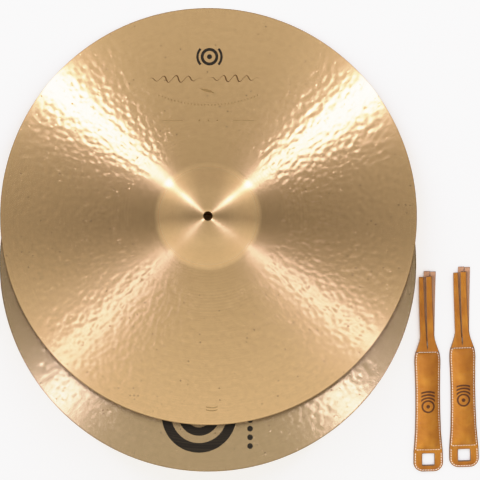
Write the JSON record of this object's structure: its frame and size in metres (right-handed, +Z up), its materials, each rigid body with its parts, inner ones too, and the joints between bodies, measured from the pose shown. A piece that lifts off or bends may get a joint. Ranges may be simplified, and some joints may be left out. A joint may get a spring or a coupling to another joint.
{
  "type": "hand cymbals",
  "caption": "Thin domed bronze hand cymbals with raised bells, laid hollow sides together, with padded, stitched leather hand straps that have split tails and a pierced tab.",
  "frame": {"origin": "on the floor under the middle of the whole set's box", "axes": "+Z up from the floor, +Y towards the front cymbal's rim that leans on the floor, +X towards the straps"},
  "size_m": [0.6536, 0.6394, 0.0942],
  "materials": {
    "bronze": "traditional cast bronze: lathed, hammered and lightly polished",
    "leather": "tan vegetable leather, smooth grain outside, rough flesh inside",
    "felt": "dense wool felt filling",
    "thread": "waxed off-white sewing thread"
  },
  "bodies": {
    "rear_cymbal": {"rear_cymbal": "bronze"},
    "front_cymbal": {"front_cymbal": "bronze"},
    "left_strap": {"left_strap_grip_back": "leather", "left_strap_grip_cover": "leather", "left_strap_pad": "felt", "left_strap_side_seam_left": "thread", "left_strap_side_seam_right": "thread", "left_strap_cross_seam_lower": "thread", "left_strap_cross_seam_upper": "thread"},
    "left_strap_tab": {"left_strap_tab_back": "leather", "left_strap_tab_front": "leather", "left_strap_tab_seam": "thread"},
    "left_strap_tail_front_left": {"left_strap_tail_front_left": "leather"},
    "left_strap_tail_front_right": {"left_strap_tail_front_right": "leather"},
    "left_strap_tail_back_left": {"left_strap_tail_back_left": "leather"},
    "left_strap_tail_back_right": {"left_strap_tail_back_right": "leather"},
    "right_strap": {"right_strap_grip_back": "leather", "right_strap_grip_cover": "leather", "right_strap_pad": "felt", "right_strap_side_seam_left": "thread", "right_strap_side_seam_right": "thread", "right_strap_cross_seam_lower": "thread", "right_strap_cross_seam_upper": "thread"},
    "right_strap_tab": {"right_strap_tab_back": "leather", "right_strap_tab_front": "leather", "right_strap_tab_seam": "thread"},
    "right_strap_tail_front_left": {"right_strap_tail_front_left": "leather"},
    "right_strap_tail_front_right": {"right_strap_tail_front_right": "leather"},
    "right_strap_tail_back_left": {"right_strap_tail_back_left": "leather"},
    "right_strap_tail_back_right": {"right_strap_tail_back_right": "leather"}
  },
  "joints": [
    {"name": "front_cymbal_lift", "type": "slide", "parent": "rear_cymbal", "child": "front_cymbal", "axis": [0, 0.1521, 0.9884], "range_m": [0, 0.3]},
    {"name": "left_strap_lift", "type": "slide", "parent": "rear_cymbal", "child": "left_strap", "axis": [0, 0, 1], "range_m": [0, 0.25]},
    {"name": "left_strap_tab_fold", "type": "hinge", "parent": "left_strap", "child": "left_strap_tab", "pos_m": [0.25659, -0.29211, 0.00235], "axis": [-0.9997, -0.0227, 0], "range_deg": [0, 90]},
    {"name": "left_strap_tail_front_left_bend", "type": "hinge", "parent": "left_strap", "child": "left_strap_tail_front_left", "pos_m": [0.25294, -0.13105, 0.005], "axis": [0.9997, 0.0227, 0], "range_deg": [0, 150]},
    {"name": "left_strap_tail_front_right_bend", "type": "hinge", "parent": "left_strap", "child": "left_strap_tail_front_right", "pos_m": [0.25294, -0.13105, 0.005], "axis": [0.9997, 0.0227, 0], "range_deg": [0, 150]},
    {"name": "left_strap_tail_back_left_bend", "type": "hinge", "parent": "left_strap", "child": "left_strap_tail_back_left", "pos_m": [0.25294, -0.13105, 0.005], "axis": [0.9997, 0.0227, 0], "range_deg": [0, 90]},
    {"name": "left_strap_tail_back_right_bend", "type": "hinge", "parent": "left_strap", "child": "left_strap_tail_back_right", "pos_m": [0.25294, -0.13105, 0.005], "axis": [0.9997, 0.0227, 0], "range_deg": [0, 90]},
    {"name": "right_strap_lift", "type": "slide", "parent": "rear_cymbal", "child": "right_strap", "axis": [0, 0, 1], "range_m": [0, 0.25]},
    {"name": "right_strap_tab_fold", "type": "hinge", "parent": "right_strap", "child": "right_strap_tab", "pos_m": [0.306, -0.28582, 0.00235], "axis": [-0.9995, -0.0332, 0], "range_deg": [0, 90]},
    {"name": "right_strap_tail_front_left_bend", "type": "hinge", "parent": "right_strap", "child": "right_strap_tail_front_left", "pos_m": [0.30066, -0.1248, 0.005], "axis": [0.9995, 0.0332, 0], "range_deg": [0, 150]},
    {"name": "right_strap_tail_front_right_bend", "type": "hinge", "parent": "right_strap", "child": "right_strap_tail_front_right", "pos_m": [0.30066, -0.1248, 0.005], "axis": [0.9995, 0.0332, 0], "range_deg": [0, 150]},
    {"name": "right_strap_tail_back_left_bend", "type": "hinge", "parent": "right_strap", "child": "right_strap_tail_back_left", "pos_m": [0.30066, -0.1248, 0.005], "axis": [0.9995, 0.0332, 0], "range_deg": [0, 90]},
    {"name": "right_strap_tail_back_right_bend", "type": "hinge", "parent": "right_strap", "child": "right_strap_tail_back_right", "pos_m": [0.30066, -0.1248, 0.005], "axis": [0.9995, 0.0332, 0], "range_deg": [0, 90]}
  ],
  "couplings": [
    {"joint": "left_strap_tail_front_right_bend", "follows": "left_strap_tail_front_left_bend", "ratio": 1},
    {"joint": "left_strap_tail_back_left_bend", "follows": "left_strap_tail_front_left_bend", "ratio": 0.6},
    {"joint": "left_strap_tail_back_right_bend", "follows": "left_strap_tail_front_left_bend", "ratio": 0.6},
    {"joint": "right_strap_tail_front_right_bend", "follows": "right_strap_tail_front_left_bend", "ratio": 1},
    {"joint": "right_strap_tail_back_left_bend", "follows": "right_strap_tail_front_left_bend", "ratio": 0.6},
    {"joint": "right_strap_tail_back_right_bend", "follows": "right_strap_tail_front_left_bend", "ratio": 0.6}
  ]
}
